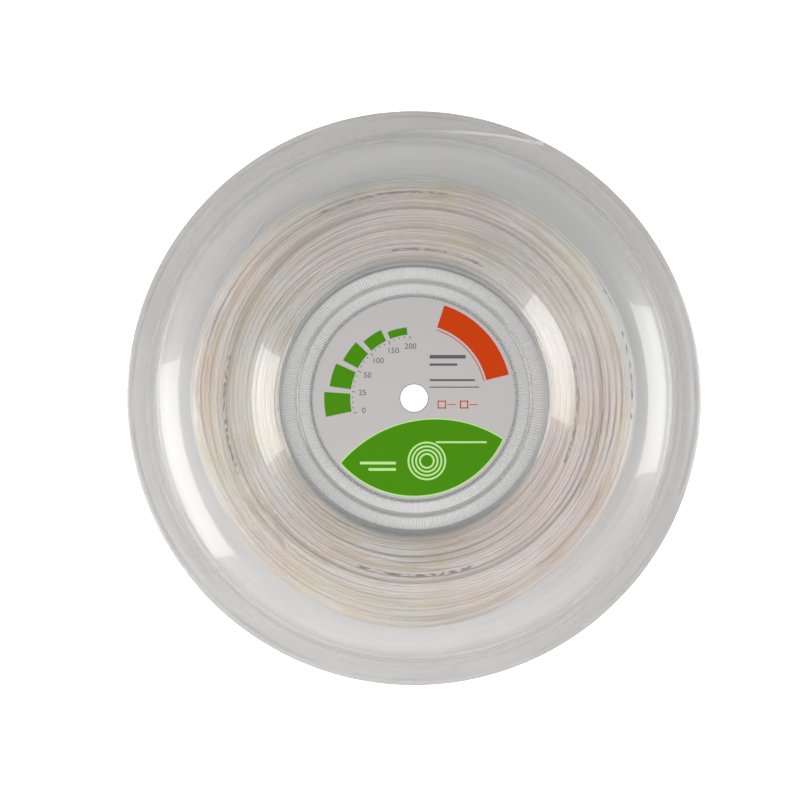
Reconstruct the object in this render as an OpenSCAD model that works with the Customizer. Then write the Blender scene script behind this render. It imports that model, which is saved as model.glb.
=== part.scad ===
// String reel: a clear clamshell of two formed half shells with wound racket string between them.
// It lies on its rear shell, bore axis along Z, origin on the floor under the bore.

/* [Shells] */
// Outer diameter of the reel over its rim lips
reel_d = 270; // [250:1:300]
// Overall thickness of the reel from crest to crest
reel_h = 30; // [28:0.5:36]
// Thickness of the formed plastic sheet
sheet_t = 0.8; // [0.5:0.1:1.2]
// Radial width of the flat rim lips
lip_w = 12; // [8:0.5:16]
// Gap between the two lips, through which the string is drawn off
lip_gap = 2; // [1.8:0.1:3]
// Radial width of the flared edge of each lip
flare_w = 2.8; // [1:0.1:4]
// Height by which the flared edge stands off the lip
flare_h = 0.6; // [0.2:0.1:1.2]
// Radial width of the flat ring on the crest, on which the reel rests
crest_w = 12.5; // [8:0.5:16]
// Share of the bulge's two slopes that its inner one takes
inner_share = 0.6; // [0.45:0.05:0.65]
// Radial width of the steep wall from the bulge's outer slope to the lip
rim_wall_w = 1.5; // [1:0.1:3]
// Height of the steep wall above the lip
rim_wall_h = 9; // [6:0.5:10]

/* [Hub] */
// Diameter of the bore for the winding machine's arbor
bore_d = 13; // [10:0.5:20]
// Radial width of the steep riser from the floor to the inner step
inner_riser_w = 0.3; // [0.1:0.1:1]
// Radial width of the inner ribbed step
inner_step_w = 5.5; // [4:0.1:7]
// Radial width of the sloped riser between the two steps
middle_riser_w = 1.9; // [0.5:0.1:2.5]
// Radial width of the outer ribbed step
outer_step_w = 6.1; // [4:0.1:7]
// Radial width of the riser from the outer step to the bulge
outer_riser_w = 0.9; // [0.5:0.1:1.5]
// Height of each step of the hub
step_h = 1.4; // [1:0.1:2]
// Thickness of the adhesive ring that joins the two hub floors
bond_t = 0.4; // [0.2:0.1:0.8]
// Radial width of the adhesive ring
bond_w = 14; // [5:1:25]
// Radial distance of the adhesive ring from the floor's edge
bond_margin = 4; // [1:0.5:8]

/* [Ribs] */
// Number of radial ribs on each step
rib_count = 90; // [36:6:120]
// Width of one rib
rib_w = 0.9; // [0.6:0.1:1.4]
// Height of one rib above its step
rib_h = 0.4; // [0.2:0.1:0.8]

/* [Label] */
// Diameter of the paper label, which fills the front hub floor
label_d = 95; // [80:0.5:110]
// Thickness of the label
label_t = 0.2; // [0.1:0.05:0.4]

/* [String] */
// Diameter of the string
string_d = 1.4; // [1.2:0.01:1.45]
// Number of turns in the outer layer
turn_count = 24; // [12:1:24]
// Clear radial space between the wound string and the outer edge of the bulge
string_margin = 19.8; // [15:0.1:25]
// Radius of the wound string's rounded shoulders
shoulder_r = 8; // [4:0.5:10]
// Angle round the reel at which the free end leaves the turns
leave_a = 150; // [140:1:160]

/* [Hidden] */
$fn = 144;

// Colours
clear_c = [0.86, 0.88, 0.90, 0.45];
bond_c = [0.93, 0.94, 0.92, 0.60];
label_c = [0.74, 0.73, 0.73];
string_c = [0.93, 0.90, 0.84];
core_c = [0.84, 0.80, 0.73];

// Named clearances
soft_gap = 0.3;     // between string and anything it doesn't lie in
label_gap = 0.3;    // how far the label's hole stands back from the bore
label_fit = 0.4;    // between the label's edge and the hub's first riser
rib_inset = 0.4;    // between a rib's ends and the risers of its step
rib_sink = 0.2;     // how far a rib's foot reaches into the sheet

// Heights of the exposed faces above the middle plane, which the two shells share
mid_z = reel_h / 2;
floor_z = bond_t / 2 + sheet_t;
inner_step_z = floor_z + step_h;
outer_step_z = floor_z + 2 * step_h;
toe_z = floor_z + 3 * step_h;
lip_z = lip_gap / 2 + sheet_t;

// Radii of the exposed faces
bore_r = bore_d / 2;
floor_r = label_d / 2 + label_fit;
bond_outer_r = floor_r - bond_margin;
bond_inner_r = bond_outer_r - bond_w;
inner_step_r = floor_r + inner_riser_w;
inner_edge_r = inner_step_r + inner_step_w;
outer_step_r = inner_edge_r + middle_riser_w;
outer_edge_r = outer_step_r + outer_step_w;
toe_in_r = outer_edge_r + outer_riser_w;
reel_r = reel_d / 2;
lip_in_r = reel_r - lip_w;
flare_r = reel_r - flare_w;

// The bulge is a flat crest between two arcs. The inner one falls to the hub's last riser, and the
// outer one to the steep wall.
rim_wall_r = lip_in_r - rim_wall_w;
crest_in_r = toe_in_r + inner_share * (rim_wall_r - toe_in_r - crest_w);
crest_out_r = crest_in_r + crest_w;
in_arc_r = arc_radius(crest_in_r - toe_in_r, mid_z - toe_z);
out_arc_r = arc_radius(rim_wall_r - crest_out_r, mid_z - lip_z - rim_wall_h);
in_arc_a = asin((crest_in_r - toe_in_r) / in_arc_r);
arc_steps = 24;

// The outer layer winds in one tube of string_sides sides with turn_steps rings a turn. Between
// its rings it cuts the corner by chord_sag.
turn_steps = 24;
string_sides = 6;
string_r = string_d / 2;
drum_r = toe_in_r + sheet_t;
pack_r = lip_in_r - string_margin - string_r;
chord_sag = pack_r * (1 - cos(180 / turn_steps));
drum_sag = drum_r * (1 - cos(180 / turn_steps));
lay = string_r + soft_gap + drum_sag;           // from a shell's inner face to the tube's middle
core_lay = string_r + soft_gap + chord_sag;     // from the tube's middle to the core
drum_lay_r = drum_r + lay;
top_lay_z = mid_z - sheet_t - lay;
turn_shoulder_r = min(shoulder_r, pack_r - crest_in_r);
shoulder_c = [pack_r - turn_shoulder_r, top_lay_z - turn_shoulder_r];
in_lay_r = in_arc_r - sheet_t - lay;
in_arc_c = [crest_in_r, mid_z - in_arc_r];

// The tube follows the section of the pack: crown, shoulder, top, inner slope and drum, then the
// same again on the rear side, back to the crown
slope_a = asin((crest_in_r - drum_lay_r) / in_lay_r);
slope_z = in_arc_c[1] + in_lay_r * cos(slope_a);
crown_l = shoulder_c[1];
shoulder_l = turn_shoulder_r * PI / 2;
top_l = shoulder_c[0] - crest_in_r;
slope_l = in_lay_r * PI * slope_a / 180;
drum_l = slope_z;
half_l = crown_l + shoulder_l + top_l + slope_l + drum_l;
lay_pitch = 2 * half_l / turn_count;

// The free end: from the turns' end it swings out through the empty rim of the cavity, passes
// between the lips and stops short of their edge. Each point has its angle, its share of the way
// from the turns' radius to the rim, and its share of the turns' end's height off the middle plane.
tail_route = [
    [140, 0.08, 0.80],
    [132, 0.18, 0.65],
    [125, 0.29, 0.45],
    [118, 0.40, 0.25],
    [111, 0.49, 0.05],
    [105, 0.57, 0],
    [100, 0.63, 0],
    [95, 0.68, 0],
    [90, 0.71, 0],
    [85, 0.73, 0],
    [80, 0.76, 0],
    [75, 0.81, 0],
    [71, 0.86, 0],
    [67, 0.91, 0],
    [63, 0.97, 0]
];
tail_sides = 8;
tail_steps = 4;

// Radius of an arc that starts level and falls by drop over a run
function arc_radius(run, drop) = (run * run + drop * drop) / (2 * drop);

// Points of an arc about c, from angle a to angle b, measured from straight up towards +r
function arc(c, r, a, b) =
    [for (i = [0 : arc_steps]) let (t = a + (b - a) * i / arc_steps)
        [c[0] + r * sin(t), c[1] + r * cos(t)]];

// Corners of half the hub, d below the exposed face: floor, two steps and the risers between them
function hub_face(d) = [
    [bore_r, floor_z - d],
    [floor_r + d, floor_z - d],
    [inner_step_r + d, inner_step_z - d],
    [inner_edge_r + d, inner_step_z - d],
    [outer_step_r + d, outer_step_z - d],
    [outer_edge_r + d, outer_step_z - d]
];

// Angle at which the outer arc meets the steep wall, d below the exposed face
function out_arc_a(d) = asin((rim_wall_r - d - crest_out_r) / (out_arc_r - d));

// One face of the formed sheet, from the bore to the rim, d below the exposed face
function sheet_face(d) = concat(
    hub_face(d),
    arc(in_arc_c, in_arc_r - d, -in_arc_a, 0),
    arc([crest_out_r, mid_z - out_arc_r], out_arc_r - d, 0, out_arc_a(d)),
    [
        [lip_in_r - d, lip_z - d],
        [flare_r, lip_z - d],
        [reel_r, lip_z + flare_h - d]
    ]
);

// Reverses a list of points
function back(v) = [for (i = [len(v) - 1 : -1 : 0]) v[i]];

// Middle of the wound tube in section, [r, z], at length s along the front half from the crown
function front_lay(s) =
    s < crown_l
        ? [pack_r, s]
    : s < crown_l + shoulder_l
        ? let (a = (s - crown_l) / turn_shoulder_r * 180 / PI)
          shoulder_c + turn_shoulder_r * [cos(a), sin(a)]
    : s < crown_l + shoulder_l + top_l
        ? [shoulder_c[0] - (s - crown_l - shoulder_l), top_lay_z]
    : s < half_l - drum_l
        ? let (a = (s - crown_l - shoulder_l - top_l) / in_lay_r * 180 / PI)
          in_arc_c + in_lay_r * [-sin(a), cos(a)]
    : [drum_lay_r, half_l - s];

// The same over both halves
function lay_at(s) =
    s <= half_l
        ? front_lay(s)
        : let (p = front_lay(2 * half_l - s)) [p[0], -p[1]];

// Angle, radius and height of ring i of the wound tube
ring_count = turn_count * turn_steps;
function ring_at(i) =
    let (s = lay_pitch / 2 + (2 * half_l - lay_pitch) * i / ring_count)
    concat([leave_a + 360 / turn_steps * (ring_count - i)], lay_at(s));

rings = [for (i = [0 : ring_count]) ring_at(i)];

function on_ring(ring) = [ring[1] * cos(ring[0]), ring[1] * sin(ring[0]), ring[2]];
ring_middles = [for (ring = rings) on_ring(ring)];

// Corners of one ring, in the plane through the reel's axis, moved by shift
function ring_corners(ring, shift) =
    [for (k = [0 : string_sides - 1]) let (t = 360 * k / string_sides)
        on_ring([ring[0], ring[1] + string_r * cos(t), ring[2] + string_r * sin(t)]) + shift];

// Way of the string at a ring, clockwise as the reel is seen from its front
function heading(ring) = [sin(ring[0]), -cos(ring[0]), 0];

last_ring = rings[ring_count];
turn_rings = concat(
    [ring_corners(rings[0], -string_d * heading(rings[0]))],
    [for (ring = rings) ring_corners(ring, [0, 0, 0])],
    [ring_corners(last_ring, string_d * heading(last_ring))]
);

// Smallest gap between the tube and its own other turns, measured between ring middles
function near(i) =
    min([for (j = [i + turn_steps / 2 : ring_count]) norm(ring_middles[i] - ring_middles[j])]);
turn_gap = min([for (i = [0 : ring_count - turn_steps / 2]) near(i)]) - string_d;
echo(least_gap_between_turns_mm = turn_gap);

// Point at share t between b and c of a smooth curve through a, b, c and d
function smooth(a, b, c, d, t) =
    b + (c - a) * t / 2
      + (2 * a - 5 * b + 4 * c - d) * t * t / 2
      + (3 * b - a - 3 * c + d) * t * t * t / 2;

// The free end's route, with its start face to face with the end of the turns
tail_start = on_ring(last_ring) + string_d * heading(last_ring);
tail_knots = concat([tail_start], [for (p = tail_route)
    on_ring([p[0], pack_r + p[1] * (reel_r - pack_r), p[2] * tail_start[2]])]);
tail_first = tail_start - 4 * string_d * heading(last_ring);
tail_last = 2 * tail_knots[len(tail_knots) - 1] - tail_knots[len(tail_knots) - 2];
tail_ends = concat([tail_first], tail_knots, [tail_last]);
tail_points = concat(
    [for (i = [1 : len(tail_ends) - 3]) for (k = [0 : tail_steps - 1])
        smooth(tail_ends[i - 1], tail_ends[i], tail_ends[i + 1], tail_ends[i + 2], k / tail_steps)],
    [tail_knots[len(tail_knots) - 1]]
);
function tail_way(i) =
    i == 0 ? heading(last_ring)
    : tail_points[min(i + 1, len(tail_points) - 1)] - tail_points[i - 1];
function tail_corners(i) =
    let (
        way = tail_way(i) / norm(tail_way(i)),
        side = cross(way, [0, 0, 1]) / norm(cross(way, [0, 0, 1])),
        up = cross(side, way)
    )
    [for (k = [0 : tail_sides - 1]) let (t = 360 * (k + 0.5) / tail_sides)
        tail_points[i] + string_r * (side * cos(t) + up * sin(t))];
tail_rings = [for (i = [0 : len(tail_points) - 1]) tail_corners(i)];
tail_l = norm_sum([for (i = [1 : len(tail_points) - 1]) norm(tail_points[i] - tail_points[i - 1])]);
function norm_sum(v, i = 0) = i == len(v) ? 0 : v[i] + norm_sum(v, i + 1);
echo(free_end_length_mm = tail_l);

// A closed tube over rings of corners, triangles all round
module tube(tube_rings) {
    n = len(tube_rings[0]);
    last = len(tube_rings) - 1;
    corners = [for (ring = tube_rings) for (p = ring) p];
    walls = [for (i = [0 : last - 1]) for (k = [0 : n - 1])
        let (a = i * n + k, b = i * n + (k + 1) % n)
        each [[a, b, a + n], [b, b + n, a + n]]];
    caps = [for (k = [1 : n - 2])
        each [[0, k + 1, k], [last * n, last * n + k, last * n + k + 1]]];
    polyhedron(points = corners, faces = concat(walls, caps));
}

// A ring of ribs that stands on one step, between its two risers
module ribs(from_r, width, on_z) {
    for (i = [0 : rib_count - 1])
        rotate([0, 0, 360 * i / rib_count])
            translate([from_r + rib_inset, -rib_w / 2, on_z - rib_sink])
                cube([width - 2 * rib_inset, rib_w, rib_h + rib_sink]);
}

// One half shell above the middle plane
module half_shell() {
    rotate_extrude()
        polygon(concat(sheet_face(0), back(sheet_face(sheet_t))));
    ribs(inner_step_r, inner_step_w, inner_step_z);
    ribs(outer_step_r, outer_step_w, outer_step_z);
}

module front_shell() {
    color(clear_c)
        translate([0, 0, mid_z])
            half_shell();
}

module rear_shell() {
    color(clear_c)
        translate([0, 0, mid_z])
            rotate([180, 0, 0])
                half_shell();
}

// Adhesive between the two hub floors
module hub_bond() {
    color(bond_c)
        translate([0, 0, mid_z - bond_t / 2])
            difference() {
                cylinder(h = bond_t, r = bond_outer_r);
                translate([0, 0, -bond_t])
                    cylinder(h = 3 * bond_t, r = bond_inner_r);
            }
}

module front_label() {
    color(label_c)
        translate([0, 0, mid_z + floor_z])
            difference() {
                cylinder(h = label_t, d = label_d);
                translate([0, 0, -label_t])
                    cylinder(h = 3 * label_t, r = bore_r + label_gap);
            }
}

// Section of the inner layers, core_lay inside the path of the outer turns: its front half, from the
// drum to the crown, and the whole of it
core_slope_a = asin((crest_in_r - drum_lay_r - core_lay) / (in_lay_r - core_lay));
function core_half() = concat(
    arc(in_arc_c, in_lay_r - core_lay, -core_slope_a, 0),
    arc(shoulder_c, turn_shoulder_r - core_lay, 0, 90)
);
function core_outline() = concat(core_half(), [for (p = back(core_half())) [p[0], -p[1]]]);

// The inner layers of string as one plain ring
module string_core() {
    color(core_c)
        translate([0, 0, mid_z])
            rotate_extrude()
                polygon(core_outline());
}

module string_turns() {
    color(string_c)
        translate([0, 0, mid_z])
            tube(turn_rings);
}

module string_tail() {
    color(string_c)
        translate([0, 0, mid_z])
            tube(tail_rings);
}

front_shell();
rear_shell();
hub_bond();
front_label();
string_core();
string_turns();
string_tail();
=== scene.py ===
"""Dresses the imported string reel: two clear half shells, the wound string, the label and a studio."""

import math
import random
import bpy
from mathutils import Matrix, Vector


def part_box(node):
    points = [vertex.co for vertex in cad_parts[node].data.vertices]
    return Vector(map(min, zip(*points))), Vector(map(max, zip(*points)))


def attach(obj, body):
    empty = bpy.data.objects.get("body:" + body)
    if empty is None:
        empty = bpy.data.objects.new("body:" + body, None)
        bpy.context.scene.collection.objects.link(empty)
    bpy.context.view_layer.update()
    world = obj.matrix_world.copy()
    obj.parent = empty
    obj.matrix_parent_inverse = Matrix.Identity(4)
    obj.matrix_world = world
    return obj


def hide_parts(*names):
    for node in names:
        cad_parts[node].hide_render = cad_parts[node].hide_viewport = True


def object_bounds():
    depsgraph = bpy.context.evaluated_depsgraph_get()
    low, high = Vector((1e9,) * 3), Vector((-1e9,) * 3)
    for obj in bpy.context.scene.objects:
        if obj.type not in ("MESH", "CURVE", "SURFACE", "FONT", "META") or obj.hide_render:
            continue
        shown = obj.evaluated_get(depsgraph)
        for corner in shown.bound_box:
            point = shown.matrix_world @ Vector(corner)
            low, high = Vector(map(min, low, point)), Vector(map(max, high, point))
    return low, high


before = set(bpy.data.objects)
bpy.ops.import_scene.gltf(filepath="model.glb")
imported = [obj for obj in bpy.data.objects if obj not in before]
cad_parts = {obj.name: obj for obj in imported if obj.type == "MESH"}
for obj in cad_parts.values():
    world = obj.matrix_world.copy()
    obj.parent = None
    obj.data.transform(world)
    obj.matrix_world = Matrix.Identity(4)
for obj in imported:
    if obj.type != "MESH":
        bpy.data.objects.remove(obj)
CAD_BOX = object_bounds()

from types import SimpleNamespace

import bmesh
import bpy
import numpy as np
from bpy.props import FloatProperty, FloatVectorProperty, IntProperty, PointerProperty
from mathutils import Matrix, Vector, noise

bl_info = {
    "name": "String Reel",
    "version": (1, 0, 0),
    "blender": (4, 5, 0),
    "location": "View3D > Sidebar > Reel",
    "description": "Builds the finished look of a clear racket-string reel around its packed solids",
    "category": "Object",
}

BODY = "root"

# Shells, in metres: radii from the axis, and heights above the middle plane
MID_Z = (CAD_BOX[0].z + CAD_BOX[1].z) / 2
HALF_H = CAD_BOX[1].z - MID_Z
REEL_R = CAD_BOX[1].x
BORE_R = 0.0065
FLOOR_R, FLOOR_Z = 0.0479, 0.0010
STEP_H = 0.0014
STEP_1 = (0.0482, 0.0537)
STEP_2 = (0.0556, 0.0617)
NOTCH_RUN = 0.0017
GROOVE_RUN, GROOVE_RISE = 0.00035, 0.0001
TOE_R, TOE_RUN = 0.0626, 0.0004
SLOPE_R = 0.0530
LIP_IN_R, LIP_Z = 0.1230, 0.0018
WALL_R, WALL_H = 0.1215, 0.0090
CREST_W, CREST_SHARE = 0.0125, 0.6
CREST_IN_R = TOE_R + CREST_SHARE * (WALL_R - TOE_R - CREST_W)
CREST_OUT_R = CREST_IN_R + CREST_W
FLARE_R, FLARE_RUN, FLARE_H = 0.1324, 0.0020, 0.0005
LIP_FINISH_R = LIP_IN_R + 0.0005
# Ripples of the bulge and of the lip: detail round the reel, detail outwards and share of their depth
BULGE_RIPPLES, LIP_RIPPLES = (3, 60, 1.0), (16, 120, 0.4)
RIPPLED_LIP = (LIP_IN_R + 0.003, FLARE_R + 0.001)
# Steps of the section's two arcs, and equal sectors that the shells are spun in
SLOPE_STEPS, BROW_STEPS, SECTORS = 13, 8, 24

# Rings of the sheet: where its finish changes at the wall, where shade is painted at the wall's foot and at
# the toe, and where the flare is darker in broken lines: middle radius, half width at full strength, and at
# none
WALL_BAND = (LIP_IN_R - 0.0002, 0.0018, 0.0034)
FOOT_SHADE_BAND = (LIP_IN_R + 0.0003, 0.0004, 0.0024)
FLARE_BAND = (FLARE_R + 0.0001, 0.0001, 0.0005)
TOE_SHADE_BAND = (STEP_2[1] + 0.0004, 0.0002, 0.0008)

# The string's pack, in metres: the slack to the shell, and the radii and corners of its section
SLACK = 0.0003
DRUM_GAP = 0.0017
PACK_R, PACK_MID_R = 0.1025, 0.083
CROWN_R = 0.1036
SHOULDER_R, LEAST_SHOULDER_R = 0.008, 0.0015
# The winding: layers of its skin, steps a turn, turns over which a layer eases in, and how deep turns sink
SKIN_LAYERS = 2
SKIN_STEPS, INNER_STEPS = 72, 48
EASE_TURNS = 0.4
SINK, LEAST_SINK = 0.00009, 0.0002
# Waves of the turns' irregularities: cycles a turn and share
STRAY_WAVES = ((0.41, 1.0), (1.13, 0.9), (2.7, 0.3))
SINK_WAVES = ((0.77, 0.6), (1.9, 0.5))
# Shifts that neighbouring turns share: waves over the section, turns of the reel, phase and share
SWAYS = ((3, 1, 0.4, 0.55), (4, -2, 2.1, 0.45), (7, 1, 4.0, 0.28), (5, 3, 5.3, 0.22),
         (11, -2, 1.7, 0.12))
# Furrows round the pack's faces: middle radius, swing, phase, half width and depth
FURROWS = ((0.0870, 0.0017, 0.1, 0.0008, 0.0009), (0.0957, 0.0010, 2.4, 0.0007, 0.0003),
           (0.0770, 0.0014, 4.0, 0.0008, 0.0004))
# Loose turns: radius, angle, how far either way they lie loose, in degrees, and their reach
LOOSE = ((0.0905, 222, 12, 0.0042), (0.0820, 35, 22, -0.0034), (0.0965, 318, 18, -0.0036),
         (0.0740, 140, 20, 0.0030), (0.0985, 168, 16, -0.0040), (0.0800, 262, 25, 0.0026),
         (0.0930, 74, 17, -0.0030), (0.0890, 345, 20, 0.0032))
# Swell of the pack's outer edge: waves as (count, height, phase), humps as (angle, height, spread)
SWELL_R, SWELL_RUN = 0.092, 0.011
SWELL_WAVES = ((3, 0.0006, 1.0), (2, 0.0005, 4.2))
SWELL_HUMPS = ((-math.pi / 2, 0.0029, 0.3), (math.pi, 0.0018, 0.12))
# The free end's route: angle, share of the way from the pack to the rim, share of its first depth
TAIL = ((150, 0, 1), (140, .08, .80), (132, .18, .65), (125, .29, .45), (118, .40, .25),
        (111, .49, .05), (105, .57, 0), (100, .63, 0), (95, .68, 0), (90, .71, 0), (85, .73, 0),
        (80, .76, 0), (75, .81, 0), (71, .86, 0), (67, .91, 0), (63, .97, 0))
TAIL_Z = -0.002198
LEAVE_ANGLE = math.radians(TAIL[0][0])

# Tones that multiply the nylon's colour. Patches: noise scale, shift, start and full, and tone
PATCHES = ((20.0, 0.0, 0.43, 0.66, (0.95, 0.86, 0.88, 1.0)),
           (24.0, 3.0, 0.48, 0.70, (0.84, 0.93, 0.89, 1.0)),
           (32.0, 7.0, 0.52, 0.72, (0.98, 0.90, 0.72, 1.0)))
# Painted shade: ochre in the furrows, and greyer at the pack's edge at both ends of the Y axis
FURROW_SHADES = ((0.54, 0.45, 0.31, 1.0), (0.80, 0.73, 0.60, 1.0), (0.80, 0.70, 0.58, 1.0))
EDGE_END_SHADE = (0.84, 0.88, 0.86, 1.0)
DULL_STRAND = (0.88, 0.83, 0.75, 1.0)
BROWN_STRAND = (0.66, 0.58, 0.47, 1.0)
# Painted shade for the skin's lower layer: warmer and darker
UNDER_SHADE = (0.92, 0.84, 0.72, 1.0)
# Painted light: lighter, cooler tones for the pack's rim and its sides
EDGE_PAINTED_LIGHT, FLANK_PAINTED_LIGHT = (1.34, 1.40, 1.45, 1.0), (1.34, 1.42, 1.50, 1.0)
# Ink of the dashes, and the clearer colour of the free end
DASH_INK = (0.035, 0.025, 0.018, 1.0)
SINGLE_STRAND = (0.97, 0.96, 0.95, 1.0)

# The label's print, in metres and degrees. Bars are (x, y, width, height), ticks (inwards, length)
LABEL_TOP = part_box("front_label")[1].z
LABEL_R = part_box("front_label")[1].x
PRINT_R = LABEL_R - 0.0016
INK_T = 0.00003
FIELD_CENTRE, FIELD_R, FIELD_RIM = (0.010, -0.068, 0), 0.058, 0.0006
FIELD_START, FIELD_CUTS, FIELD_CUT_STEP = 40, 40, 2.6
COIL_CENTRE, COIL_RINGS, COIL_STEP = (0.0060, -0.0295), 4, 0.0018
COIL_IN_R, COIL_OUT_R = 0.0028, 0.0037
COIL_BARS = ((0.0162, 0.0088, 0.0240, 0.0009), (-0.0230, -0.0010, 0.0170, 0.0013),
             (-0.0210, -0.0040, 0.0130, 0.0013))
BAND_R, BAND_LINE = 0.0350, (0.0336, 0.0340)
BAND_START, BAND_SWEEP = 14, 58
SQUARES = ((0.0130, -0.0030), (0.0235, -0.0030))
SQUARE_BARS = ((0, 0.0016, 0.0038, 0.0005), (0, -0.0016, 0.0038, 0.0005),
               (0.0017, 0, 0.0005, 0.0037), (-0.0017, 0, 0.0005, 0.0037),
               (0.0045, 0, 0.0040, 0.0004))
GAUGE_R, GAUGE_START, GAUGE_STEP = 0.0300, 96, 20
BLOCKS, BLOCK_H, BLOCK_GROWTH, BLOCK_GAP = 5, 0.0035, 0.0022, 4
SCALE_START = GAUGE_START - BLOCK_GAP / 2
LONG_TICK, SHORT_TICK, TICK_W = (0.0014, 0.0018), (0.0010, 0.0009), 0.00035
RULES = ((0.0158, 0.0195, 0.0170, 0.0017), (0.0138, 0.0158, 0.0130, 0.0011),
         (0.0190, 0.0052, 0.0234, 0.0005), (0.0180, 0.0085, 0.0214, 0.0009))
NUMBERS, NUMBER_H, NUMBER_GAP = ("200", "150", "100", "50", "25", "0"), 0.0038, 0.0056

# Studio. Standing boxes: way towards them, width, lowest and highest point, share of brightness
BOXES = {"left_box": ((-0.9625, -0.2714), 0.665, 0.610, 1.380, 0.96),
         "right_box": ((0.9992, 0.0393), 0.53, 0.658, 1.449, 1.0)}
BOX_DISTANCE, BOX_LEAN = 0.72, 8
# Low panels and the near fill: zenith angle, distance and size, and the fill's way and brightness
GLOW_ZENITH, GLOW_DISTANCE, GLOW_SIZE = 62.5, 1.1, (0.9, 0.34)
NEAR_WAY, NEAR_ZENITH, NEAR_DISTANCE, NEAR_SIZE = (-0.4, -1.0), 38, 0.5, (0.4, 0.35)
NEAR_RADIANCE = 2.8
# The surroundings' gradient: how far it turns from Y to X, and how far it rises and falls
FILL_TURN, FILL_SPREAD = 0.42, 0.25
VIEW_CENTRE = (-0.00664, -0.00085)
FLOOR_SIZE = 6.0


class ReelShellSettings(bpy.types.PropertyGroup):
    """Sizes and finish of the two clear half shells."""

    sheet: FloatProperty(name="Sheet", description="Thickness of the formed sheet",
                         default=0.0008, unit="LENGTH")
    fillet: FloatProperty(name="Fillet", description="Rounding of the formed corners",
                          default=0.00028, unit="LENGTH")
    ribs: IntProperty(name="Ribs", description="Fine radial ribs round each hub step", default=288)
    rib_height: FloatProperty(name="Rib height", description="Height of one rib above its step",
                              default=0.00035, unit="LENGTH")
    ripple: FloatProperty(name="Ripple", description="Depth of the sheet's forming ripples",
                          default=0.00010, unit="LENGTH")
    soft_fillet: FloatProperty(name="Soft fillet", description="Rounding of the rim wall's corners",
                               default=0.0019, unit="LENGTH")
    notch: FloatProperty(name="Notch", description="Depth of the notches at the label's edge",
                         default=0.0005, unit="LENGTH")
    tint: FloatVectorProperty(name="Tint", description="Colour of light through the bulge",
                              default=(0.87, 0.868, 0.865, 1.0), size=4, subtype="COLOR")
    lip_tint: FloatVectorProperty(name="Lip tint", description="Colour of light through the rim lip",
                                  default=(0.77, 0.765, 0.76, 1.0), size=4, subtype="COLOR")
    haze: FloatProperty(name="Haze", description="Haze inside the front sheet", default=0.2)
    rear_haze: FloatProperty(name="Rear haze", description="Haze of the rear sheet", default=0.35)
    clearness: FloatProperty(name="Clearness", description="Share of light the sheet passes clear",
                             default=0.90, subtype="FACTOR")
    frost: FloatProperty(name="Frost", description="Roughness of the ribbed steps", default=0.32)


class ReelStringSettings(bpy.types.PropertyGroup):
    """Sizes and colour of the wound string."""

    diameter: FloatProperty(name="Diameter", description="Diameter of the string",
                            default=0.0014, unit="LENGTH")
    pitch: FloatProperty(name="Pitch", description="Middle distance between neighbouring turns",
                         default=0.00142, unit="LENGTH")
    layer_step: FloatProperty(name="Layer step", description="Distance between winding layers",
                              default=0.00085, unit="LENGTH")
    layers: IntProperty(name="Layers", description="Winding layers from the skin inwards", default=6)
    wander: FloatProperty(name="Wander", description="How far neighbouring turns stray together",
                          default=0.0011, unit="LENGTH")
    stray: FloatProperty(name="Stray", description="How far a single turn strays from its place",
                         default=0.00019, unit="LENGTH")
    seed: IntProperty(name="Seed", description="Seed of the winding's irregularities", default=7)
    colour: FloatVectorProperty(name="Colour", description="Colour of the nylon",
                                default=(0.515, 0.482, 0.446, 1.0), size=4, subtype="COLOR")


class ReelLabelSettings(bpy.types.PropertyGroup):
    """Colours of the hub label."""

    paper: FloatVectorProperty(name="Paper", description="Colour of the label's paper",
                               default=(0.435, 0.415, 0.41, 1.0), size=4, subtype="COLOR")
    green: FloatVectorProperty(name="Green", description="Green printing ink",
                               default=(0.052, 0.215, 0.001, 1.0), size=4, subtype="COLOR")
    orange: FloatVectorProperty(name="Orange", description="Orange printing ink",
                                default=(0.49, 0.040, 0.001, 1.0), size=4, subtype="COLOR")
    pale: FloatVectorProperty(name="Pale green", description="Pale green printing ink",
                              default=(0.42, 0.66, 0.25, 1.0), size=4, subtype="COLOR")
    grey: FloatVectorProperty(name="Grey", description="Grey printing ink",
                              default=(0.10, 0.10, 0.11, 1.0), size=4, subtype="COLOR")


class ReelStageSettings(bpy.types.PropertyGroup):
    """Camera, lights and floor."""

    frame_width: FloatProperty(name="Frame width", description="Width of the view at mid height",
                               default=0.3768, unit="LENGTH")
    lens: FloatProperty(name="Lens", description="Focal length in millimetres", default=85.0)
    box_radiance: FloatProperty(name="Side boxes", description="Brightness of the two side boxes",
                                default=3.2)
    glow: FloatProperty(name="Side glow", description="Brightness of the low panels below the boxes",
                        default=2.2)
    fill: FloatProperty(name="Fill", description="Brightness of the surroundings", default=0.40)


# ---- mesh helpers ----

def link_piece(name, mesh, materials):
    """Puts a mesh with its materials into the scene, as an object at the origin."""
    for material in materials:
        mesh.materials.append(material)
    piece = bpy.data.objects.new(name, mesh)
    bpy.context.scene.collection.objects.link(piece)
    return piece


def finish_mesh(bm, name, *materials):
    """Turns a bmesh into a finished object and frees it."""
    mesh = bpy.data.meshes.new(name)
    bm.to_mesh(mesh)
    bm.free()
    return link_piece(name, mesh, materials)


def mesh_from_curve(curve):
    """Turns a curve or text into a mesh and removes it."""
    holder = bpy.data.objects.new(curve.name, curve)
    bpy.context.scene.collection.objects.link(holder)
    bpy.context.view_layer.update()
    graph = bpy.context.evaluated_depsgraph_get()
    mesh = bpy.data.meshes.new_from_object(holder.evaluated_get(graph))
    bpy.data.objects.remove(holder)
    bpy.data.curves.remove(curve)
    return mesh


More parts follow.
